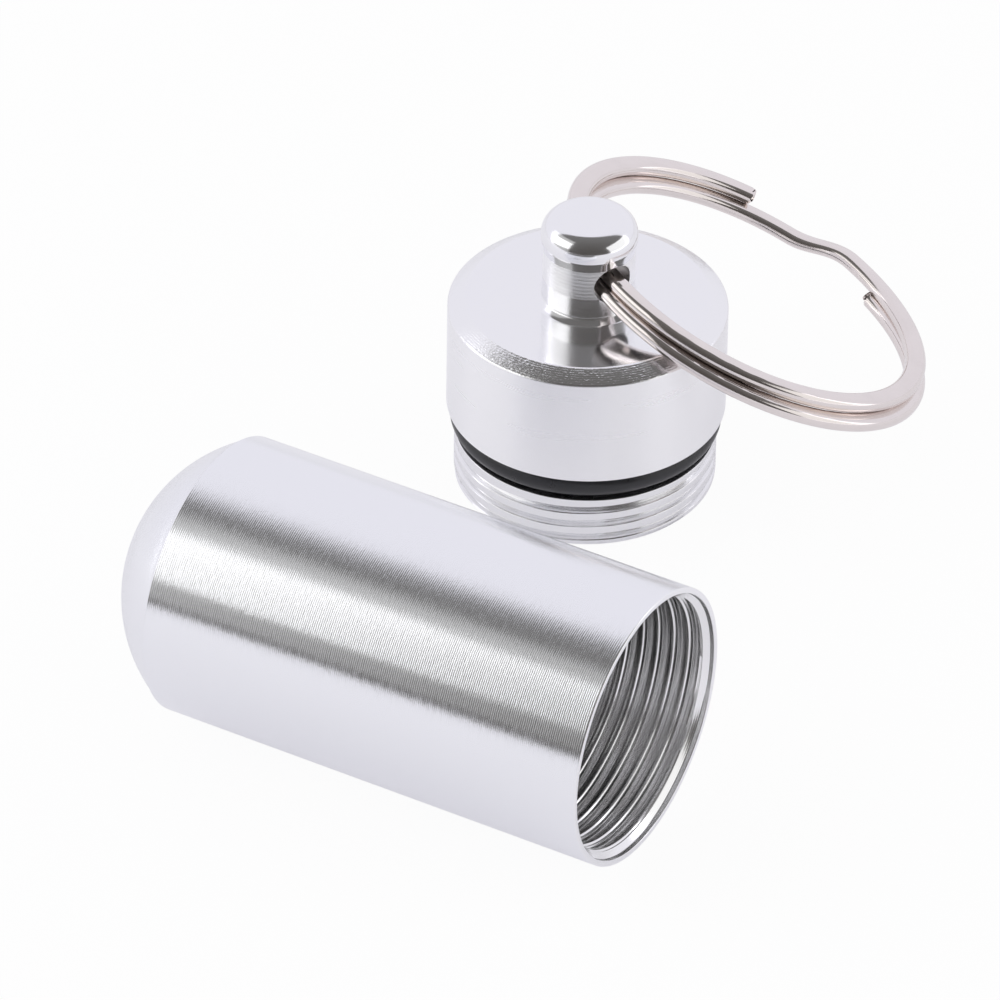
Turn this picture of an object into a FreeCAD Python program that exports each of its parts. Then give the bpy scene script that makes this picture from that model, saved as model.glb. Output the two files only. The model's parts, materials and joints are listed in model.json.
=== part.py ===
import FreeCAD, Part
import math
import os

from FreeCAD import Placement, Rotation, Vector

# Pill fob in millimetres and degrees: a turned barrel lying on its side, its
# screw cap standing beside it, the cap's seal ring, and a split key ring
# through the cap's knob. +Z is up and the barrel's mouth faces +X.

# Shared by barrel and cap
body_diameter = 17.0
thread_wall = 0.48
thread_depth = 0.3
thread_clearance = 0.1
edge_break = 0.12
cut_overrun = 1.0

# Barrel
barrel_length = 28.9
dome_height = 5.0
dome_step = 0.12
lead_in_wall = 0.38
lead_in_depth = 0.5
thread_reach = 6.5
cavity_wall = 1.3
cavity_end_inset = 0.9
cavity_cone_length = 1.6
cavity_cone_width = 2.4

# Cap, from its threaded foot up to its top face
stub_length = 5.35
foot_chamfer = 0.2
groove_width = 1.75
skirt_height = 7.08
rim_width = 1.1
rim_height = 0.59
recess_wall = 1.82
recess_depth = 8.0

# Knob on the cap
neck_diameter = 5.6
neck_height = 3.7
neck_flare_width = 0.4
neck_flare_height = 0.3
step_height = 0.6
head_diameter = 5.9
head_round_radius = 1.0
knob_height = 5.9
hole_diameter = 3.3
hole_height = 2.53
hole_heading = -26.8

# Seal ring
seal_cord_diameter = 1.5
seal_inset = 0.22
seal_clearance = 0.04
seal_sides = 16

# Split key ring: two turns of oval wire with one crossover
ring_mean_diameter = 23.54
wire_width = 1.0
wire_height = 0.65
turn_gap = 0.43
turn_slip = 0.91
tip_angle = 62.0
cross_start_angle = 383.0
cross_end_angle = 406.0
tail_angle = 736.0
stations_per_turn = 4
wire_sides = 12
gap_samples = 180

# How the ring hangs in the hole
ring_heading = 54.5
ring_droop = 25.8
ring_skew = 4.75
ring_seat = -0.1
ring_lift = -0.06

# Layout on the table
mouth_forward = 20.9
barrel_beside = 30.1

# Where the two turns lie, as shares of their pitch and slip
upper_turn_share = 0.5
lower_turn_share = -0.5

# First corner of a many-sided section, as a share of the step between corners
corner_share = 0.5

body_radius = body_diameter / 2
pitch_radius = body_radius - thread_wall - thread_depth / 2
seal_radius = body_radius - seal_inset
cap_top = stub_length + skirt_height + rim_height
turn_pitch = wire_height + turn_gap


def turned(points_and_arcs, axis):
    face = Part.Face(Part.Wire(points_and_arcs))
    return face.revolve(Vector(), axis, 360)


def line(start, end):
    return Part.makeLine(start, end)


def arc(start, middle, end):
    return Part.Arc(start, middle, end).toShape()


def quarter_arc(start, end, centre):
    radius = (start - centre).Length
    outward = (start - centre) + (end - centre)
    outward.normalize()
    return arc(start, centre + outward * radius, end)


def outline(*points):
    return [line(a, b) for a, b in zip(points, points[1:])]


def flats(centre, along, across, sides):
    # Round or oval section drawn as a many-sided polygon
    corners = []
    for i in range(sides):
        angle = math.tau * (i + corner_share) / sides
        corners.append(centre + along * math.cos(angle) + across * math.sin(angle))
    return Part.makePolygon(corners + corners[:1])


def barrel():
    def at(depth, radius):
        return Vector(-depth, 0, radius)

    lead_in_radius = body_radius - lead_in_wall
    thread_radius = pitch_radius + thread_clearance / 2
    thread_end = lead_in_depth + thread_reach
    cavity_radius = body_radius - cavity_wall
    cavity_depth = barrel_length - cavity_end_inset

    # The closed end is a shallow spherical cap inside a crisp edge
    dome_radius = body_radius - dome_step
    sphere = (dome_radius ** 2 + dome_height ** 2) / (2 * dome_height)
    spread = math.asin(dome_radius / sphere) / 2
    crown = barrel_length + dome_height
    shoulder = at(crown - sphere + sphere * math.cos(spread), sphere * math.sin(spread))

    edges = outline(
        at(cavity_depth, 0),
        at(cavity_depth, cavity_radius - cavity_cone_width),
        at(cavity_depth - cavity_cone_length, cavity_radius),
        at(thread_end, cavity_radius),
        at(thread_end, thread_radius),
        at(lead_in_depth, thread_radius),
        at(lead_in_depth, lead_in_radius),
        at(0, lead_in_radius),
        at(0, body_radius - edge_break),
        at(edge_break, body_radius),
        at(barrel_length, body_radius),
        at(barrel_length, dome_radius),
    )
    edges.append(arc(at(barrel_length, dome_radius), shoulder, at(crown, 0)))
    edges.append(line(at(crown, 0), at(cavity_depth, 0)))

    solid = turned(edges, Vector(1, 0, 0))
    solid.translate(Vector(mouth_forward, -barrel_beside, body_radius))
    return solid


def cap():
    def at(radius, height):
        return Vector(radius, 0, height)

    stub_radius = pitch_radius - thread_clearance / 2
    groove_radius = seal_radius - seal_cord_diameter - seal_clearance
    groove_foot = stub_length - groove_width
    skirt_top = stub_length + skirt_height
    recess_radius = stub_radius - recess_wall
    neck_radius = neck_diameter / 2
    neck_top = cap_top + neck_height
    head_radius = head_diameter / 2
    head_foot = neck_top + step_height
    knob_top = cap_top + knob_height
    crown = head_round_radius

    edges = outline(
        at(0, recess_depth),
        at(recess_radius, recess_depth),
        at(recess_radius, 0),
        at(stub_radius - foot_chamfer, 0),
        at(stub_radius, foot_chamfer),
        at(stub_radius, groove_foot),
        at(groove_radius, groove_foot),
        at(groove_radius, stub_length),
        at(body_radius, stub_length),
        at(body_radius, skirt_top),
        at(body_radius - rim_width, cap_top),
        at(neck_radius + neck_flare_width, cap_top),
        at(neck_radius, cap_top + neck_flare_height),
        at(neck_radius, neck_top),
        at(head_radius, head_foot),
        at(head_radius, knob_top - crown),
    )
    edges.append(
        quarter_arc(
            at(head_radius, knob_top - crown),
            at(head_radius - crown, knob_top),
            at(head_radius - crown, knob_top - crown),
        )
    )
    edges += outline(
        at(head_radius - crown, knob_top),
        at(0, knob_top),
        at(0, recess_depth),
    )
    solid = turned(edges, Vector(0, 0, 1))

    # Cross hole for the key ring
    reach = head_diameter + 2 * cut_overrun
    drill = Part.makeCylinder(hole_diameter / 2, reach, Vector(0, 0, -reach / 2))
    drill.Placement = Placement(hole_centre(), hole_turn()).multiply(drill.Placement)
    return solid.cut(drill)


def hole_centre():
    return Vector(0, 0, cap_top + hole_height)


def hole_turn():
    return Rotation(Vector(0, 0, 1), hole_heading).multiply(Rotation(Vector(0, 1, 0), 90))


def seal_ring():
    cord_radius = seal_cord_diameter / 2
    height = stub_length - seal_clearance - cord_radius
    centre = Vector(seal_radius - cord_radius, 0, height)
    cord = flats(centre, Vector(cord_radius, 0, 0), Vector(0, 0, cord_radius), seal_sides)
    return turned(cord.Edges, Vector(0, 0, 1))


def wire_point(angle, share):
    # Middle of the wire on the upper or the lower turn, in the ring's own plane
    radius = ring_mean_diameter / 2
    a = math.radians(angle)
    return Vector(radius * math.cos(a), radius * math.sin(a) + share * turn_slip, share * turn_pitch)


def wire_heading(angle):
    a = math.radians(angle)
    return Vector(-math.sin(a), math.cos(a), 0)


def leg_arc(start, corner, end):
    # Arc tangent to two equal legs that meet at the corner
    chord_middle = (start + end) / 2
    bend = math.pi - (start - corner).getAngle(end - corner)
    share = math.cos(bend / 2) / (1 + math.cos(bend / 2))
    return arc(start, chord_middle + (corner - chord_middle) * share, end)


def biarc(start, start_heading, end, end_heading):
    span = end - start
    both = start_heading + end_heading
    a = 2 * (start_heading.dot(end_heading) - 1)
    b = -2 * span.dot(both)
    c = span.dot(span)
    leg = (-b - math.sqrt(b * b - 4 * a * c)) / (2 * a)
    first = start + start_heading * leg
    second = end - end_heading * leg
    joint = (first + second) / 2
    return [leg_arc(start, first, joint), leg_arc(joint, second, end)]


def steps(first, last):
    count = math.ceil((last - first) / 360 * stations_per_turn)
    return [first + (last - first) * i / count for i in range(count + 1)]


def ring_stations():
    upper = [(angle, upper_turn_share) for angle in steps(tip_angle, cross_start_angle)]
    lower = [(angle, lower_turn_share) for angle in steps(cross_end_angle, tail_angle)]
    return upper + lower


def ring_path():
    stations = ring_stations()
    edges = []
    for (angle, share), (next_angle, next_share) in zip(stations, stations[1:]):
        edges += biarc(
            wire_point(angle, share),
            wire_heading(angle),
            wire_point(next_angle, next_share),
            wire_heading(next_angle),
        )
    return Part.Wire(edges)


def key_ring():
    path = ring_path()
    print("key ring least gap to itself: %.3f mm" % least_gap(path))

    start = wire_point(tip_angle, upper_turn_share)
    outward = wire_heading(tip_angle).cross(Vector(0, 0, 1))
    oval = flats(start, outward * (wire_width / 2), Vector(0, 0, wire_height / 2), wire_sides)
    solid = path.makePipeShell([oval], True, False)
    solid.Placement = ring_placement()
    return solid


def least_gap(path):
    # Distance between points of the wire a turn apart, less the wire's height
    points = path.discretize(Number=gap_samples)
    spacing = path.Length / (gap_samples - 1)
    skip = round(math.pi * ring_mean_diameter / 2 / spacing)
    gaps = []
    for i, point in enumerate(points):
        gaps += [point.distanceToPoint(other) for other in points[i + skip:]]
    return min(gaps) - wire_height


def ring_placement():
    turn = Rotation(Vector(0, 0, 1), ring_heading)
    turn = turn.multiply(Rotation(Vector(0, 1, 0), ring_droop))
    turn = turn.multiply(Rotation(Vector(1, 0, 0), ring_skew))
    outward = turn.multVec(Vector(1, 0, 0))
    lift = Vector(0, 0, ring_lift)
    return Placement(hole_centre() + lift + outward * (ring_mean_diameter / 2 + ring_seat), turn)


nodes = {
    "barrel": barrel(),
    "cap": cap(),
    "seal_ring": seal_ring(),
    "key_ring": key_ring(),
}

# The floor is at z = 0 and the layout is centred over the origin
box = Part.makeCompound(list(nodes.values())).optimalBoundingBox(False)
centring = Vector(-(box.XMin + box.XMax) / 2, -(box.YMin + box.YMax) / 2, 0)

os.makedirs("parts", exist_ok=True)
for name, shape in nodes.items():
    placed = shape.copy()
    placed.translate(centring)
    placed.exportStep("parts/" + name + ".step")
    print(name, "volume %.1f mm3" % placed.Volume, "valid", placed.isValid())
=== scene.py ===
import json
import math

import bmesh
import bpy
from mathutils import Matrix, Quaternion, Vector


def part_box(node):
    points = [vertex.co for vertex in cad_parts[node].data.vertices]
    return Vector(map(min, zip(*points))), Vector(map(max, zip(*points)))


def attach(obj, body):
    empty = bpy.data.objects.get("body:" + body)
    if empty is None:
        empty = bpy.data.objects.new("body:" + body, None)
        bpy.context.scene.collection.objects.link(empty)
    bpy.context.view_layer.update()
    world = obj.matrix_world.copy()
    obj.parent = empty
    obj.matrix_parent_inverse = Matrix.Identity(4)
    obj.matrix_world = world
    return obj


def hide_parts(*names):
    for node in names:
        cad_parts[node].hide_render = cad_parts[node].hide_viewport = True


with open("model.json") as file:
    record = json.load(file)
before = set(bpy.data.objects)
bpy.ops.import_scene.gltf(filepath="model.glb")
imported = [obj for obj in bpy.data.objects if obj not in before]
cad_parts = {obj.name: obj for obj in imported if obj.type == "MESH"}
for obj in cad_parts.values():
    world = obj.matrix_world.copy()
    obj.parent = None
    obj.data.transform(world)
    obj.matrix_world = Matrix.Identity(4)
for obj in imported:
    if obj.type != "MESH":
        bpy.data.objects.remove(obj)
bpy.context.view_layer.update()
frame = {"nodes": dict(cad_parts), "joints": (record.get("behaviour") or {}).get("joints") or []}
mm = 0.001
turnSteps = 192  # facets round a turned piece
sharpAngle = math.radians(34)
origin = (0, 0, 0)
upAxis = (0, 0, 1)
white = (1.0, 1.0, 1.0, 1.0)
print("frame loaded:", ", ".join(sorted(frame["nodes"])))


# Camera

cameraView = {
    "azimuth": 29.227,
    "elevation": 36.6,
    "roll": 0.911,
    "distance": 612.77,
    "lens": 362.39,
    "sensor": 36.0,
    "clip": (0.01, 20.0),
    "aim": (-2.895, -5.327, 0.0),  # from the foot of the cap, in mm
}


def headingVector(azimuth, elevation):
    a, e = math.radians(azimuth), math.radians(elevation)
    return Vector((math.sin(a) * math.cos(e), -math.cos(a) * math.cos(e), math.sin(e)))


def turnAbout(axis, degrees, size=4):
    return Matrix.Rotation(math.radians(degrees), size, axis)


def capFoot():
    low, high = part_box("cap")
    return Vector(((low.x + high.x) / 2, (low.y + high.y) / 2, low.z))


def addCamera(view):
    data = bpy.data.cameras.new("photoCamera")
    data.lens, data.sensor_width = view["lens"], view["sensor"]
    data.clip_start, data.clip_end = view["clip"]
    camera = bpy.data.objects.new("photoCamera", data)
    bpy.context.scene.collection.objects.link(camera)
    back = headingVector(view["azimuth"], view["elevation"])
    a = math.radians(view["azimuth"])
    right = Vector((math.cos(a), math.sin(a), 0.0))
    turn = Matrix((right, back.cross(right), back)).transposed().to_4x4()
    place = capFoot() + Vector(view["aim"]) * mm + back * view["distance"] * mm
    camera.matrix_world = Matrix.Translation(place) @ turn @ turnAbout("Z", view["roll"])
    bpy.context.scene.camera = camera


addCamera(cameraView)
print("camera placed")


# Turning: a profile in (radius, height) is strung as a wire and spun about Z, in mm

softening = {"segments": 4, "broadFrom": 0.5, "broadSegments": 10, "ridgeSegments": 2}
closeness = {"weld": 0.0008, "sliver": 0.0002, "turnWeld": 0.002, "cut": 0.0005, "rim": 0.003}
spareTurns = 2  # of a thread, wound past its ends and cut off
normalWeight = 60  # how far broad faces rule the shading beside small rounded edges


def allOf(bm):
    return bm.verts[:] + bm.edges[:] + bm.faces[:]


def vertsIn(geom):
    return [item for item in geom if isinstance(item, bmesh.types.BMVert)]


def roundOff(bm, geom, offset, segments, affect="VERTICES", clamp=False):
    bmesh.ops.bevel(bm, geom=geom, offset=offset, offset_type="OFFSET", segments=segments,
                    profile=0.5, affect=affect, clamp_overlap=clamp, material=-1)


def spinRound(bm):
    bmesh.ops.spin(bm, geom=bm.verts[:] + bm.edges[:], cent=origin, axis=upAxis,
                   angle=math.tau, steps=turnSteps, use_merge=True)


def joinInto(bm, part):
    carrier = bpy.data.meshes.new("carrier")
    part.to_mesh(carrier)
    part.free()
    bm.from_mesh(carrier)
    bpy.data.meshes.remove(carrier)


def stringProfile(bm, corners):
    knots = [bm.verts.new((radius, 0.0, height)) for radius, height, soft in corners]
    for pair in zip(knots, knots[1:]):
        bm.edges.new(pair)
    return knots


def softenCorners(bm, knots, corners):
    for knot, (radius, height, soft) in zip(knots, corners):
        if soft:
            broad = soft > softening["broadFrom"]
            roundOff(bm, [knot], soft, softening["broadSegments" if broad else "segments"])


def turnProfile(bm, corners):
    wire = bmesh.new()
    softenCorners(wire, stringProfile(wire, corners), corners)
    spinRound(wire)
    joinInto(bm, wire)


def cutThread(bm, thread):
    # One pitch of the ridge climbs its helix and the turn is repeated,
    # then both ends are cut square and fade into the plain surface beside them
    pitch, low, high = thread["pitch"], thread["low"], thread["high"]
    start = low - pitch + thread["phase"] * pitch
    helix = bmesh.new()
    ridge = stringProfile(helix, [(radius, start + share * pitch, 0.0)
                                  for radius, share in thread["ridge"]])
    for knot in ridge[1:-1]:
        roundOff(helix, [knot], thread["soft"], softening["ridgeSegments"])
    bmesh.ops.spin(helix, geom=helix.verts[:] + helix.edges[:], cent=origin, axis=upAxis,
                   dvec=(0, 0, pitch / turnSteps), angle=math.tau, steps=turnSteps)
    firstTurn = allOf(helix)
    for turn in range(1, math.ceil((high - low) / pitch) + spareTurns):
        copied = bmesh.ops.duplicate(helix, geom=firstTurn)["geom"]
        bmesh.ops.translate(helix, vec=(0, 0, turn * pitch), verts=vertsIn(copied))
    bmesh.ops.remove_doubles(helix, verts=helix.verts, dist=closeness["turnWeld"])
    for height, side in ((low, -1), (high, 1)):
        bmesh.ops.bisect_plane(helix, geom=allOf(helix), dist=closeness["cut"],
                               plane_co=(0, 0, height), plane_no=(0, 0, side), clear_outer=True)
    for vert in helix.verts:
        radius = math.hypot(vert.co.x, vert.co.y)
        faded = radius
        for gone, end in ((vert.co.z - low, "start"), (high - vert.co.z, "end")):
            fade, plain = thread[end + "Fade"], thread[end + "Radius"]
            if gone < fade:
                faded = plain + (radius - plain) * max(0.0, gone / fade)
        vert.co.x *= faded / radius
        vert.co.y *= faded / radius
    joinInto(bm, helix)


def bridgeRims(bm, *heights):
    def onRim(edge, height):
        return all(abs(vert.co.z - height) < closeness["rim"] for vert in edge.verts)

    rims = [edge for edge in bm.edges
            if edge.is_boundary and any(onRim(edge, height) for height in heights)]
    bmesh.ops.bridge_loops(bm, edges=rims)


def bridgeThread(bm, thread):
    # The plain profiles stop just short of the thread's ends
    bridgeRims(bm, thread["low"], thread["low"] - thread["startGap"])
    bridgeRims(bm, thread["high"], thread["high"] + thread["endGap"])


def closeSurface(bm):
    bmesh.ops.remove_doubles(bm, verts=bm.verts, dist=closeness["weld"])
    bmesh.ops.dissolve_degenerate(bm, dist=closeness["sliver"], edges=bm.edges)
    bmesh.ops.recalc_face_normals(bm, faces=bm.faces)


def linkPiece(name, bm, materials):
    for face in bm.faces:
        face.smooth = True
    for edge in bm.edges:
        edge.smooth = len(edge.link_faces) != 2 or edge.calc_face_angle() <= sharpAngle
    mesh = bpy.data.meshes.new(name)
    bm.to_mesh(mesh)
    bm.free()
    for material in materials:
        mesh.materials.append(material)
    piece = bpy.data.objects.new(name, mesh)
    bpy.context.scene.collection.objects.link(piece)
    return piece


def dropPiece(piece):
    mesh = piece.data
    bpy.data.objects.remove(piece)
    bpy.data.meshes.remove(mesh)


def bakeModifiers(piece):
    bpy.context.view_layer.update()
    depsgraph = bpy.context.evaluated_depsgraph_get()
    shaped = bpy.data.meshes.new_from_object(piece.evaluated_get(depsgraph))
    piece.modifiers.clear()
    old, piece.data = piece.data, shaped
    bpy.data.meshes.remove(old)
    shaped.name = piece.name


def evenShading(piece):
    # Broad faces keep their own normals beside the small rounded edges
    even = piece.modifiers.new("evenShading", "WEIGHTED_NORMAL")
    even.mode, even.weight, even.keep_sharp = "FACE_AREA", normalWeight, True
    bakeModifiers(piece)


def profileOf(face):
    middle = face.calc_center_median()
    return math.hypot(middle.x, middle.y), middle.z


def finishOrder(plan):
    return {name: index for index, name in enumerate(plan["finish"])}


# Finishes

noiseRange = (0.3, 0.7)  # where nearly all values of a noise lie
bandLength = math.pi / 10  # of a wave texture at a scale of 1
acrossTangent = 0.25  # a quarter turn between the tangent and the tool marks
# A turned finish has its lines' rates per mm round the piece, along it and for broad tones,
# the spacing of its grooves in mm as feed, their share of the relief, and the relief's depth in mm
toolMarks = {"fineDetail": 3.0, "broadDetail": 2.0, "noiseRoughness": 0.6, "broadShare": 0.4,
             "grooveWander": 1.2}


def addNode(tree, kind, inputs=None, **settings):
    node = tree.nodes.new("ShaderNode" + kind)
    for key, value in settings.items():
        setattr(node, key, value)
    for key, value in (inputs or {}).items():
        if isinstance(value, bpy.types.NodeSocket):
            tree.links.new(value, node.inputs[key])
        else:
            node.inputs[key].default_value = value
    return node


def addMath(tree, operation, *values):
    return addNode(tree, "Math", dict(enumerate(values)), operation=operation).outputs[0]


def mixColours(tree, share, first, second):
    # A Mix node's colour sockets are its inputs 6 and 7 and its output 2
    return addNode(tree, "Mix", {0: share, 6: first, 7: second}, data_type="RGBA").outputs[2]


def opaque(colour, factor=1.0):
    return (*(channel * factor for channel in colour), 1.0)


def startGroup(name, inputs, outputs):
    group = bpy.data.node_groups.new(name, "ShaderNodeTree")
    for label, kind in inputs:
        group.interface.new_socket(label, in_out="INPUT", socket_type="NodeSocket" + kind)
    for label, kind in outputs:
        group.interface.new_socket(label, in_out="OUTPUT", socket_type="NodeSocket" + kind)
    return group, group.nodes.new("NodeGroupInput"), group.nodes.new("NodeGroupOutput")


def startMaterial(name):
    material = bpy.data.materials.new(name)
    material.use_nodes = True
    return material, material.node_tree


def makeTurningLines():
    # Fine rings left by the cutting tool: they run round Z and follow the profile up and inwards
    group, given, out = startGroup(
        "turningLines",
        [("Place", "Vector"), ("Around", "Float"), ("Along", "Float"), ("Broad", "Float"),
         ("Groove", "Float"), ("Grooves", "Float")],
        [("Height", "Float"), ("Tone", "Float")],
    )
    parts = addNode(group, "SeparateXYZ", {0: given.outputs["Place"]}).outputs
    flat = addNode(group, "CombineXYZ", {"X": parts["X"], "Y": parts["Y"]})
    radius = addNode(group, "VectorMath", {0: flat.outputs[0]}, operation="LENGTH")
    climb = addMath(group, "SUBTRACT", parts["Z"], radius.outputs["Value"])
    x = addMath(group, "MULTIPLY", parts["X"], given.outputs["Around"])
    y = addMath(group, "MULTIPLY", parts["Y"], given.outputs["Around"])
    heights = []
    for rate, detail in (("Along", "fineDetail"), ("Broad", "broadDetail")):
        z = addMath(group, "MULTIPLY", climb, given.outputs[rate])
        place = addNode(group, "CombineXYZ", {"X": x, "Y": y, "Z": z})
        noise = addNode(group, "TexNoise", {"Vector": place.outputs[0], "Scale": 1.0,
                                            "Detail": toolMarks[detail],
                                            "Roughness": toolMarks["noiseRoughness"]})
        heights.append(noise.outputs["Fac"])
    both = addNode(group, "Mix", {0: toolMarks["broadShare"], 2: heights[0], 3: heights[1]},
                   data_type="FLOAT")
    place = addNode(group, "CombineXYZ", {"X": x, "Y": y, "Z": climb})
    groove = addNode(group, "TexWave", {"Vector": place.outputs[0],
                                        "Scale": given.outputs["Groove"],
                                        "Distortion": toolMarks["grooveWander"]},
                     wave_type="BANDS", bands_direction="Z")
    height = addNode(group, "Mix", {0: given.outputs["Grooves"], 2: both.outputs[0],
                                    3: groove.outputs["Fac"]}, data_type="FLOAT")
    group.links.new(height.outputs[0], out.inputs["Height"])
    group.links.new(heights[1], out.inputs["Tone"])
    return group


def makeFineGrain():
    # Even grain with no direction, for the plated wire and the rubber
    group, given, out = startGroup(
        "fineGrain",
        [("Place", "Vector"), ("Grain", "Float"), ("Detail", "Float"), ("Colour", "Color"),
         ("Speck", "Color")],
        [("Colour", "Color"), ("Height", "Float")],
    )
    noise = addNode(group, "TexNoise", {"Vector": given.outputs["Place"],
                                        "Scale": given.outputs["Grain"],
                                        "Detail": given.outputs["Detail"]}).outputs["Fac"]
    colour = mixColours(group, noise, given.outputs["Colour"], given.outputs["Speck"])
    group.links.new(colour, out.inputs["Colour"])
    group.links.new(noise, out.inputs["Height"])
    return group


turningLines = makeTurningLines()
fineGrain = makeFineGrain()


def addRelief(tree, shader, tone, height, look):
    low, high = noiseRange
    rough = addNode(tree, "MapRange", {"Value": tone, "From Min": low, "From Max": high,
                                       "To Min": look["smooth"], "To Max": look["rough"]})
    tree.links.new(rough.outputs[0], shader.inputs["Roughness"])
    if look["depth"]:
        bump = addNode(tree, "Bump", {"Height": height, "Strength": 1.0,
                                      "Distance": look["depth"] * mm})
        tree.links.new(bump.outputs[0], shader.inputs["Normal"])


def turnedMetal(name, look, axisPlace, axisTurn=(0.0, 0.0, 0.0), tangentAxis="Z"):
    material, tree = startMaterial(name)
    shader = tree.nodes["Principled BSDF"]
    shader.inputs["Metallic"].default_value = 1.0
    shader.inputs["Base Color"].default_value = opaque(look["colour"])
    shader.inputs["Anisotropic"].default_value = look["anisotropy"]
    shader.inputs["Anisotropic Rotation"].default_value = acrossTangent
    coords = addNode(tree, "TexCoord")
    centred = addNode(tree, "VectorMath", {0: coords.outputs["Object"], 1: tuple(axisPlace)},
                      operation="SUBTRACT")
    place = addNode(tree, "Mapping", {"Vector": centred.outputs[0], "Rotation": axisTurn,
                                      "Scale": (1 / mm,) * 3})
    lines = addNode(tree, "Group", {"Place": place.outputs[0],
                                    "Groove": bandLength / look["feed"]}, node_tree=turningLines)
    for key in ("Around", "Along", "Broad", "Grooves"):
        lines.inputs[key].default_value = look[key.lower()]
    addRelief(tree, shader, lines.outputs["Tone"], lines.outputs["Height"], look)
    if look["anisotropy"]:
        tangent = addNode(tree, "Tangent", direction_type="RADIAL", axis=tangentAxis)
        tree.links.new(tangent.outputs[0], shader.inputs["Tangent"])
    return material


def grainedMaterial(name, look):
    material, tree = startMaterial(name)
    shader = tree.nodes["Principled BSDF"]
    shader.inputs["Metallic"].default_value = look["metallic"]
    coords = addNode(tree, "TexCoord")
    grain = addNode(tree, "Group", {"Place": coords.outputs["Object"], "Grain": look["grain"],
                                    "Detail": look["detail"], "Colour": opaque(look["colour"]),
                                    "Speck": opaque(look["colour"], look["speck"])},
                    node_tree=fineGrain)
    tree.links.new(grain.outputs["Colour"], shader.inputs["Base Color"])
    addRelief(tree, shader, grain.outputs["Height"], grain.outputs["Height"], look)
    return material


# Barrel, turned with its mouth at height 0 and its dome upwards, then laid down

barrelPlan = {
    "radius": 8.5,
    "length": 28.9,
    "lip": 0.06,
    "rimInside": 8.14,
    "rimEdge": 0.05,
    "leadIn": 8.12,
    "leadInDepth": 0.3,
    "leadInEdge": 0.04,
    "boreRadius": 7.2,
    "boreStart": 7.05,
    "boreEdge": 0.1,
    "boreConeStart": 26.4,
    "boreConeEnd": 4.8,
    "boreConeEdge": 0.6,
    "boreDepth": 28.0,
    "domeRadius": 8.38,
    "domeHeight": 5.0,
    "domeEdge": 0.05,
    "domeSteps": 28,
    "thread": {
        "pitch": 1.01,
        "phase": 0.0,  # how far the ridge is shifted, in pitches
        "low": 0.62,
        "high": 6.9,
        "ridge": [(8.02, 0.0), (8.02, 0.2), (7.98, 0.22), (7.98, 0.46), (7.83, 0.53), (7.72, 0.61),
                  (7.72, 0.88), (8.02, 1.0)],
        "soft": 0.015,
        "startRadius": 7.78,
        "startFade": 0.12,
        "startGap": 0.03,
        "endRadius": 7.9,
        "endFade": 0.3,
        "endGap": 0.04,
    },
    # Where one finish meets the next
    "boreFrom": 0.06,
    "boreMargin": 0.05,
    "rimMargin": 0.001,
    "lipReach": 0.02,
    "lipMargin": 0.005,
    "finish": {
        "turnedAluminium": {
            "colour": (0.915, 0.922, 0.945), "anisotropy": 0.55, "smooth": 0.17, "rough": 0.23,
            "around": 2.0, "along": 8.0, "broad": 5.0, "feed": 0.13, "grooves": 0.25,
            "depth": 0.011},
        "cutLip": {
            "colour": (0.95, 0.95, 0.96), "anisotropy": 0.0, "smooth": 0.16, "rough": 0.26,
            "around": 0.3, "along": 8.0, "broad": 2.0, "feed": 0.1, "grooves": 0.2,
            "depth": 0.004},
        "boredAluminium": {
            "colour": (0.94, 0.94, 0.94), "anisotropy": 0.3, "smooth": 0.14, "rough": 0.24,
            "around": 0.12, "along": 6.0, "broad": 4.0, "feed": 0.2, "grooves": 0.3,
            "depth": 0.006},
    },
}


def turnInside(bm, plan):
    thread = plan["thread"]
    turnProfile(bm, [
        (thread["endRadius"], thread["high"] + thread["endGap"], 0.0),
        (thread["endRadius"], plan["boreStart"], 0.0),
        (plan["boreRadius"], plan["boreStart"], plan["boreEdge"]),
        (plan["boreRadius"], plan["boreConeStart"], plan["boreConeEdge"]),
        (plan["boreConeEnd"], plan["boreDepth"], plan["boreConeEdge"]),
        (0.0, plan["boreDepth"], 0.0),
    ])


def turnOutside(bm, plan):
    thread = plan["thread"]
    corners = [
        (thread["startRadius"], thread["low"] - thread["startGap"], 0.0),
        (plan["leadIn"], plan["leadInDepth"], plan["leadInEdge"]),
        (plan["rimInside"], 0.0, plan["rimEdge"]),
        (plan["radius"], 0.0, plan["lip"]),
        (plan["radius"], plan["length"], plan["domeEdge"]),
        (plan["domeRadius"], plan["length"], plan["domeEdge"]),
    ]
    wire = bmesh.new()
    knots = stringProfile(wire, corners)
    # The dome's arc is drawn on from the last corner, up to the axis
    radius, height = plan["domeRadius"], plan["domeHeight"]
    sphere = (radius ** 2 + height ** 2) / (2 * height)
    bmesh.ops.spin(wire, geom=knots[-1:], cent=(0, 0, plan["length"] + height - sphere),
                   axis=(0, 1, 0), angle=-math.asin(radius / sphere), steps=plan["domeSteps"])
    softenCorners(wire, knots, corners)
    spinRound(wire)
    joinInto(bm, wire)


def finishBarrel(bm, plan):
    order = finishOrder(plan)
    boreInside = plan["rimInside"] - plan["rimMargin"]
    boreEnd = plan["boreDepth"] + plan["boreMargin"]
    lipEnd = plan["lip"] + plan["lipReach"]
    lipOutside = plan["radius"] - plan["lipMargin"]
    for face in bm.faces:
        radius, height = profileOf(face)
        if radius < boreInside and plan["boreFrom"] < height < boreEnd:
            face.material_index = order["boredAluminium"]
        elif height < lipEnd and radius < lipOutside:
            face.material_index = order["cutLip"]


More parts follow.
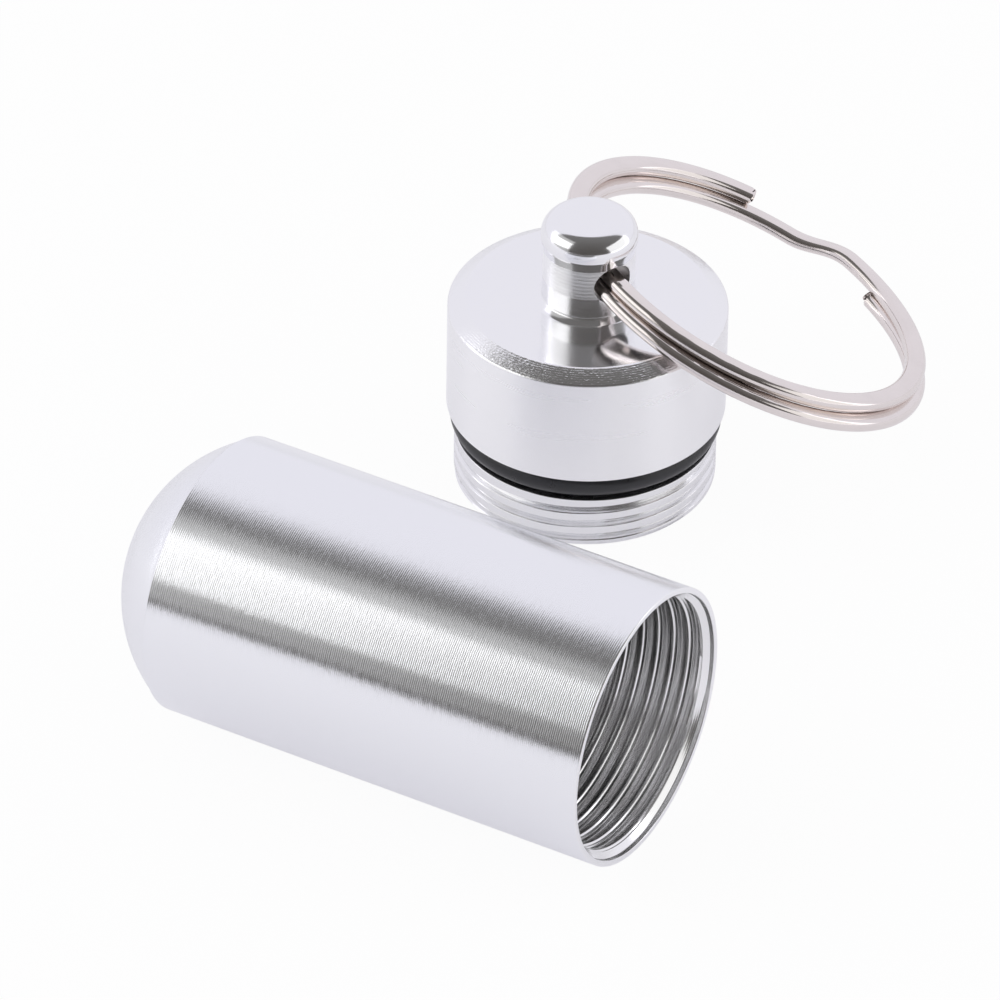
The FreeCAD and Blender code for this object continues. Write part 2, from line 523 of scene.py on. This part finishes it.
def buildBarrel(plan):
    low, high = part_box("barrel")
    mouth = Vector((high.x, (low.y + high.y) / 2, (low.z + high.z) / 2))
    bm = bmesh.new()
    cutThread(bm, plan["thread"])
    turnInside(bm, plan)
    turnOutside(bm, plan)
    bridgeThread(bm, plan["thread"])
    closeSurface(bm)
    finishBarrel(bm, plan)
    place = Matrix.Translation(mouth) @ turnAbout("Y", -90) @ Matrix.Scale(mm, 4)
    bmesh.ops.transform(bm, matrix=place, verts=bm.verts)
    layDown = (0.0, math.pi / 2, 0.0)
    finishes = [turnedMetal(name, look, mouth, layDown, "X")
                for name, look in plan["finish"].items()]
    barrel = linkPiece("fobBarrel", bm, finishes)
    evenShading(barrel)
    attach(barrel, "barrel")
    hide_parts("barrel")
    return barrel


barrel = buildBarrel(barrelPlan)
print("barrel turned:", len(barrel.data.polygons), "faces")


# Cap, turned from its foot up

capPlan = {
    "radius": 8.5,
    "recessRadius": 6.0,
    "recessDepth": 8.0,
    "recessRound": 0.4,
    "recessEdge": 0.1,
    "footRadius": 7.6,
    "footEdge": 0.06,
    "grooveFoot": 3.6,
    "grooveRadius": 6.72,
    "grooveLip": 0.05,
    "grooveEdge": 0.1,
    "skirtFoot": 5.35,
    "skirtTop": 12.43,
    "skirtEdge": 0.1,
    "topRadius": 7.4,
    "top": 13.02,
    "topEdge": 0.08,
    "neckRadius": 2.8,
    "flareRadius": 3.25,
    "flareEdge": 0.06,
    "flareTop": 13.32,
    "flareRound": 0.12,
    "neckMiddle": 14.72,
    "neckTop": 16.72,
    "headRadius": 2.94,
    "headFoot": 17.34,
    "headEdge": 0.1,
    "headRound": 1.25,
    "knobTop": 18.92,
    "holeBack": 1.64,
    "holeFront": 1.2,
    "holeHeight": 15.55,
    "holeHeading": -26.8,
    "holeSides": 96,
    "holeEdge": 0.2,
    "holeEdgeSegments": 2,
    "drillReach": 3,  # times the head's radius
    "thread": {
        "pitch": 1.0,
        "phase": -0.28,  # how far the ridge is shifted, in pitches
        "low": 0.14,
        "high": 3.4,
        "ridge": [(7.72, 0.0), (7.72, 0.32), (8.0, 0.4), (8.0, 0.9), (7.72, 1.0)],
        "soft": 0.035,
        "startRadius": 7.68,
        "startFade": 0.25,
        "startGap": 0.03,
        "endRadius": 8.0,
        "endFade": 0.75,
        "endGap": 0.03,
    },
    # Where one finish meets the next
    "threadMargin": 0.01,
    "margin": 0.02,
    "collarMargin": 0.1,
    "finish": {
        "turnedSkirt": {
            "colour": (0.98, 0.98, 0.99), "anisotropy": 0.9, "smooth": 0.27, "rough": 0.275,
            "around": 0.05, "along": 7.0, "broad": 1.2, "feed": 0.1, "grooves": 0.1,
            "depth": 0.0},
        "polishedTop": {
            "colour": (0.93, 0.93, 0.945), "anisotropy": 0.0, "smooth": 0.1, "rough": 0.15,
            "around": 0.2, "along": 6.0, "broad": 1.0, "feed": 0.1, "grooves": 0.2,
            "depth": 0.001},
        "chatteredEdge": {
            "colour": (0.93, 0.93, 0.94), "anisotropy": 0.0, "smooth": 0.07, "rough": 0.12,
            "around": 5.0, "along": 5.0, "broad": 4.0, "feed": 0.2, "grooves": 0.1,
            "depth": 0.04},
        "cutThread": {
            "colour": (0.9, 0.9, 0.91), "anisotropy": 0.7, "smooth": 0.14, "rough": 0.26,
            "around": 0.6, "along": 8.0, "broad": 2.5, "feed": 0.15, "grooves": 0.2,
            "depth": 0.016},
        "drilledHole": {
            "colour": (0.85, 0.84, 0.83), "anisotropy": 0.0, "smooth": 0.25, "rough": 0.4,
            "around": 0.6, "along": 6.0, "broad": 2.0, "feed": 0.2, "grooves": 0.1,
            "depth": 0.01},
        "turnedNeck": {
            "colour": (0.98, 0.98, 0.985), "anisotropy": 0.7, "smooth": 0.36, "rough": 0.46,
            "around": 0.8, "along": 7.0, "broad": 4.0, "feed": 0.25, "grooves": 0.3,
            "depth": 0.03},
        "turnedCollar": {
            "colour": (0.93, 0.93, 0.94), "anisotropy": 0.0, "smooth": 0.2, "rough": 0.27,
            "around": 0.5, "along": 7.0, "broad": 3.0, "feed": 0.2, "grooves": 0.2,
            "depth": 0.004},
    },
}


def capProfiles(plan):
    thread = plan["thread"]
    foot = [
        (0.0, plan["recessDepth"], 0.0),
        (plan["recessRadius"], plan["recessDepth"], plan["recessRound"]),
        (plan["recessRadius"], 0.0, plan["recessEdge"]),
        (plan["footRadius"], 0.0, plan["footEdge"]),
        (thread["startRadius"], thread["low"] - thread["startGap"], 0.0),
    ]
    upper = [
        (thread["endRadius"], thread["high"] + thread["endGap"], 0.0),
        (thread["endRadius"], plan["grooveFoot"], plan["grooveLip"]),
        (plan["grooveRadius"], plan["grooveFoot"], plan["grooveEdge"]),
        (plan["grooveRadius"], plan["skirtFoot"], plan["grooveEdge"]),
        (plan["radius"], plan["skirtFoot"], plan["skirtEdge"]),
        (plan["radius"], plan["skirtTop"], plan["skirtEdge"]),
        (plan["topRadius"], plan["top"], plan["topEdge"]),
        (plan["flareRadius"], plan["top"], plan["flareEdge"]),
        (plan["neckRadius"], plan["flareTop"], plan["flareRound"]),
        (plan["neckRadius"], plan["neckMiddle"], 0.0),
        (plan["neckRadius"], plan["neckTop"], plan["headEdge"]),
        (plan["headRadius"], plan["headFoot"], plan["headEdge"]),
        (plan["headRadius"], plan["knobTop"], plan["headRound"]),
        (0.0, plan["knobTop"], 0.0),
    ]
    return foot, upper


def capFinishAt(radius, height, plan):
    margin = plan["margin"]
    inRecess = (radius < plan["recessRadius"] + margin
                and height < plan["recessDepth"] + margin)
    if height < plan["skirtFoot"] + plan["threadMargin"] or inRecess:
        return "cutThread"
    if plan["neckMiddle"] < height < plan["neckTop"]:
        return "turnedNeck"
    collarFoot = plan["flareTop"] - plan["collarMargin"]
    if collarFoot < height <= plan["neckMiddle"] and radius < plan["flareRadius"]:
        return "turnedCollar"
    if height > plan["top"] - margin:
        return "polishedTop"
    if height > plan["skirtTop"] - margin:
        return "chatteredEdge"
    return "turnedSkirt"


def drillHole(blank, plan):
    # The blank is cut by a slightly tapered drill on the ring's hinge axis, and its rims are broken
    holeIndex = finishOrder(plan)["drilledHole"]
    axis = headingVector(plan["holeHeading"] + 90, 0)
    turn = axis.to_track_quat("Z", "Y").to_matrix().to_4x4()
    bm = bmesh.new()
    bmesh.ops.create_cone(bm, cap_ends=True, segments=plan["holeSides"],
                          radius1=plan["holeBack"], radius2=plan["holeFront"],
                          depth=plan["drillReach"] * plan["headRadius"])
    place = Matrix.Translation((0, 0, plan["holeHeight"])) @ turn
    bmesh.ops.transform(bm, matrix=place, verts=bm.verts)
    for face in bm.faces:
        face.material_index = holeIndex
    drill = linkPiece("drill", bm, blank.data.materials)
    cut = blank.modifiers.new("crossHole", "BOOLEAN")
    cut.object, cut.operation, cut.solver = drill, "DIFFERENCE", "EXACT"
    cut.material_mode = "INDEX"
    bakeModifiers(blank)
    dropPiece(drill)
    bm = bmesh.new()
    bm.from_mesh(blank.data)
    dropPiece(blank)
    rim = [edge for edge in bm.edges if len(edge.link_faces) == 2
           and sum(face.material_index == holeIndex for face in edge.link_faces) == 1]
    roundOff(bm, rim, plan["holeEdge"], plan["holeEdgeSegments"], affect="EDGES", clamp=True)
    return bm


def buildCap(plan):
    bm = bmesh.new()
    cutThread(bm, plan["thread"])
    for corners in capProfiles(plan):
        turnProfile(bm, corners)
    bridgeThread(bm, plan["thread"])
    closeSurface(bm)
    order = finishOrder(plan)
    for face in bm.faces:
        face.material_index = order[capFinishAt(*profileOf(face), plan)]
    foot = capFoot()
    finishes = [turnedMetal(name, look, foot) for name, look in plan["finish"].items()]
    bm = drillHole(linkPiece("capBlank", bm, finishes), plan)
    place = Matrix.Translation(foot) @ Matrix.Scale(mm, 4)
    bmesh.ops.transform(bm, matrix=place, verts=bm.verts)
    cap = linkPiece("fobCap", bm, finishes)
    evenShading(cap)
    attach(cap, "cap")
    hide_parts("cap")
    return cap


cap = buildCap(capPlan)
print("cap turned, threaded and drilled:", len(cap.data.polygons), "faces")


# Seal ring

sealPlan = {
    "cordRadius": 0.75,
    "outside": 8.28,
    "height": 4.57,
    "sides": 32,
    "finish": {
        "colour": (0.012, 0.012, 0.014), "speck": 1.8, "metallic": 0.0, "smooth": 0.24,
        "rough": 0.42, "grain": 900.0, "detail": 4.0, "depth": 0.004},
}


def buildSeal(plan):
    bm = bmesh.new()
    bmesh.ops.create_circle(bm, segments=plan["sides"], radius=plan["cordRadius"])
    bmesh.ops.rotate(bm, cent=origin, matrix=turnAbout("X", 90, 3), verts=bm.verts)
    middle = (plan["outside"] - plan["cordRadius"], 0, plan["height"])
    bmesh.ops.translate(bm, vec=middle, verts=bm.verts)
    spinRound(bm)
    closeSurface(bm)
    place = Matrix.Translation(capFoot()) @ Matrix.Scale(mm, 4)
    bmesh.ops.transform(bm, matrix=place, verts=bm.verts)
    seal = linkPiece("sealRing", bm, [grainedMaterial("sealRubber", plan["finish"])])
    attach(seal, "cap")
    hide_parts("seal_ring")
    return seal


seal = buildSeal(sealPlan)
print("seal ring made:", len(seal.data.polygons), "faces")


# Split key ring: two turns of flattened wire with one crossover

ringPlan = {
    "meanRadius": 11.64,
    "wireWidth": 1.33,
    "wireHeight": 0.84,
    "wireRound": 0.38,
    "wireRoundSegments": 8,
    "pitch": 0.83,  # from turn to turn, along the ring's axis
    "slip": 0.82,  # and across it
    "stretch": (0.983, 1.01),  # the ring is a little out of round
    "bow": 0.8,
    "bowAt": 167.0,
    "bowWidth": 20.0,  # to each side
    "tip": 61.0,  # the wire's angles run on from here to its tail
    "crossStart": 384.0,
    "crossEnd": 407.5,
    "tail": 734.5,
    "step": 2.0,
    "tipRound": 0.2,
    "tipRoundSegments": 4,
    "heading": 54.5,
    "droop": 25.8,
    "skew": 4.75,
    "seat": 0.06,
    "aside": -0.37,
    "lift": 0.11,
    "finish": {
        "colour": (0.86, 0.8, 0.775), "speck": 0.92, "metallic": 1.0, "smooth": 0.09,
        "rough": 0.16, "grain": 700.0, "detail": 3.0, "depth": 0.002},
}


def turnShare(angle, plan):
    # +0.5 on the upper turn, -0.5 on the lower one, easing over at the crossover
    t = (angle - plan["crossStart"]) / (plan["crossEnd"] - plan["crossStart"])
    t = min(1.0, max(0.0, t))
    return 0.5 - t * t * (3 - 2 * t)


def drawSection(bm, plan):
    # A square of side 1, scaled to the wire and rounded, then stood up at the tip
    bmesh.ops.create_circle(bm, segments=4, radius=math.sqrt(0.5))
    bmesh.ops.rotate(bm, cent=origin, matrix=turnAbout("Z", 45, 3), verts=bm.verts)
    bmesh.ops.scale(bm, vec=(plan["wireWidth"], plan["wireHeight"], 1), verts=bm.verts)
    roundOff(bm, bm.verts[:], plan["wireRound"], plan["wireRoundSegments"])
    bmesh.ops.rotate(bm, cent=origin, matrix=turnAbout("X", 90, 3), verts=bm.verts)
    bmesh.ops.translate(bm, vec=(plan["meanRadius"], 0, 0), verts=bm.verts)
    bmesh.ops.rotate(bm, cent=origin, matrix=turnAbout("Z", plan["tip"], 3), verts=bm.verts)


def windWire(bm, plan):
    drawSection(bm, plan)
    shift = Vector((0, plan["slip"], plan["pitch"]))  # from the lower turn to the upper one
    bmesh.ops.translate(bm, vec=shift * turnShare(plan["tip"], plan), verts=bm.verts)
    first = bm.edges[:]
    last = first
    count = round((plan["tail"] - plan["tip"]) / plan["step"])
    stride = (plan["tail"] - plan["tip"]) / count
    for i in range(count):
        angle = plan["tip"] + i * stride
        share, nextShare = turnShare(angle, plan), turnShare(angle + stride, plan)
        grown = bmesh.ops.extrude_edge_only(bm, edges=last)["geom"]
        verts = vertsIn(grown)
        fresh = set(verts)
        last = [item for item in grown
                if isinstance(item, bmesh.types.BMEdge) and fresh.issuperset(item.verts)]
        bmesh.ops.rotate(bm, cent=shift * share, matrix=turnAbout("Z", stride, 3), verts=verts)
        bmesh.ops.translate(bm, vec=shift * (nextShare - share), verts=verts)
    for rim in (first, last):
        bmesh.ops.edgeloop_fill(bm, edges=rim)
    roundOff(bm, first + last, plan["tipRound"], plan["tipRoundSegments"], affect="EDGES")


def bowWire(bm, plan):
    # The wire bows out a little behind the knob, so that it runs through the middle of the hole
    for vert in bm.verts:
        angle = math.atan2(vert.co.y, vert.co.x)
        away = (math.degrees(angle) - plan["bowAt"] + 180) % 360 - 180
        if abs(away) < plan["bowWidth"]:
            bow = plan["bow"] * math.cos(math.pi / 2 * away / plan["bowWidth"]) ** 2
            vert.co += Vector((math.cos(angle), math.sin(angle), 0)) * bow


def hangRing(plan):
    # The ring's middle and turn, from the place of its hinge in the knob's hole
    swing = next(joint for joint in frame["joints"] if joint["name"] == "ring_swing")
    turn = (turnAbout("Z", plan["heading"]) @ turnAbout("Y", plan["droop"])
            @ turnAbout("X", plan["skew"]))
    hang = turn.to_3x3() @ Vector((plan["meanRadius"] + plan["seat"], plan["aside"], 0))
    middle = Vector(swing["pos_m"]) + (Vector((0, 0, plan["lift"])) + hang) * mm
    return Matrix.Translation(middle) @ turn @ Matrix.Scale(mm, 4)


def buildRing(plan):
    bm = bmesh.new()
    windWire(bm, plan)
    bmesh.ops.scale(bm, vec=(*plan["stretch"], 1.0), verts=bm.verts)
    bowWire(bm, plan)
    closeSurface(bm)
    bmesh.ops.transform(bm, matrix=hangRing(plan), verts=bm.verts)
    ring = linkPiece("splitRing", bm, [grainedMaterial("nickelPlate", plan["finish"])])
    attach(ring, "ring")
    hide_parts("key_ring")
    return ring


ring = buildRing(ringPlan)
print("key ring wound:", len(ring.data.polygons), "faces")


# Studio, in metres: a white floor and a pale sweep behind the object, a dim room above and
# behind the camera, a soft box on each side and a larger, weaker one behind the left box

studio = {
    "floorRadius": 1.6,
    "floorSides": 96,
    "floorDrop": 0.00002,
    "floorColour": (0.9, 0.89, 0.92),
    "floorGlowSeen": 0.94,
    "floorGlowMirrored": 0.5,
    "paleReflection": (0.85, 0.84, 0.9),
    "dimOverhead": (0.16, 0.156, 0.154),
    "dimAhead": (0.08, 0.074, 0.07),
    "sweepTop": 73.5,  # elevation where the pale sweep ends
    "sweepSoft": 0.035,
    "ambient": (0.75, 0.75, 0.75),
    "boxes": {
        "leftBox": {"side": -80, "elevation": 30, "roll": 20, "reach": 0.22,
                    "wide": 0.215, "tall": 0.135, "radiance": 0.75},
        "leftRim": {"side": -80, "elevation": 29, "roll": 20, "reach": 0.25,
                    "wide": 0.244, "tall": 0.28, "radiance": 0.36},
        "rightBox": {"side": 76, "elevation": 20, "roll": 0, "reach": 0.22,
                     "wide": 0.23, "tall": 0.16, "radiance": 0.85},
    },
}


def addSoftbox(name, box):
    away = headingVector(cameraView["azimuth"] + box["side"], box["elevation"])
    data = bpy.data.lights.new(name, "AREA")
    data.shape, data.size, data.size_y = "RECTANGLE", box["wide"], box["tall"]
    data.energy = math.pi * box["wide"] * box["tall"] * box["radiance"]
    lamp = bpy.data.objects.new(name, data)
    lamp.location = away * box["reach"]
    turn = away.to_track_quat("Z", "Y") @ Quaternion(upAxis, math.radians(box["roll"]))
    lamp.rotation_euler = turn.to_euler()
    lamp.visible_camera = False
    bpy.context.scene.collection.objects.link(lamp)


def backgroundRays(tree):
    # 1 for camera rays, and apart from them 1 for the rays that metal and glass send
    path = addNode(tree, "LightPath").outputs
    mirrored = addMath(tree, "MAXIMUM", path["Is Glossy Ray"], path["Is Transmission Ray"])
    return path["Is Camera Ray"], mirrored


def addFloor(look):
    bm = bmesh.new()
    bmesh.ops.create_circle(bm, cap_ends=True, segments=look["floorSides"],
                            radius=look["floorRadius"])
    bmesh.ops.translate(bm, vec=(0, 0, -look["floorDrop"]), verts=bm.verts)
    material, tree = startMaterial("paleFloor")
    tree.nodes.remove(tree.nodes["Principled BSDF"])
    seen, mirrored = backgroundRays(tree)
    colour = mixColours(tree, seen, opaque(look["paleReflection"]), white)
    seenShare = addMath(tree, "MULTIPLY", seen, look["floorGlowSeen"])
    glowShare = addMath(tree, "MULTIPLY_ADD", mirrored, look["floorGlowMirrored"], seenShare)
    matt = addNode(tree, "BsdfDiffuse", {"Color": opaque(look["floorColour"])})
    glow = addNode(tree, "Emission", {"Color": colour, "Strength": 1.0})
    both = addNode(tree, "MixShader", {0: glowShare, 1: matt.outputs[0], 2: glow.outputs[0]})
    tree.links.new(both.outputs[0], tree.nodes["Material Output"].inputs["Surface"])
    floor = linkPiece("floor", bm, [material])


def facing(tree, direction, heading):
    return addNode(tree, "VectorMath", {0: direction, 1: tuple(heading)},
                   operation="DOT_PRODUCT").outputs["Value"]


def addRoom(look):
    world = bpy.data.worlds.new("studioRoom")
    world.use_nodes = True
    bpy.context.scene.world = world
    tree = world.node_tree
    seen, mirrored = backgroundRays(tree)
    direction = addNode(tree, "TexCoord").outputs["Generated"]
    sweepEdge = headingVector(cameraView["azimuth"], 90 - look["sweepTop"])
    pale = addNode(tree, "MapRange", {"Value": facing(tree, direction, sweepEdge),
                                      "From Min": -look["sweepSoft"], "From Max": look["sweepSoft"],
                                      "To Min": 1.0, "To Max": 0.0},
                   interpolation_type="SMOOTHSTEP").outputs[0]
    ahead = facing(tree, direction, headingVector(cameraView["azimuth"], 0))
    dim = mixColours(tree, ahead, opaque(look["dimOverhead"]), opaque(look["dimAhead"]))
    room = mixColours(tree, pale, dim, opaque(look["paleReflection"]))
    soft = mixColours(tree, mirrored, opaque(look["ambient"]), room)
    shown = mixColours(tree, seen, soft, white)
    tree.links.new(shown, tree.nodes["Background"].inputs["Color"])
    tree.nodes["Background"].inputs["Strength"].default_value = 1.0


for name, box in studio["boxes"].items():
    addSoftbox(name, box)
addFloor(studio)
addRoom(studio)
bpy.context.scene.view_settings.view_transform = "Standard"
print("studio lit")
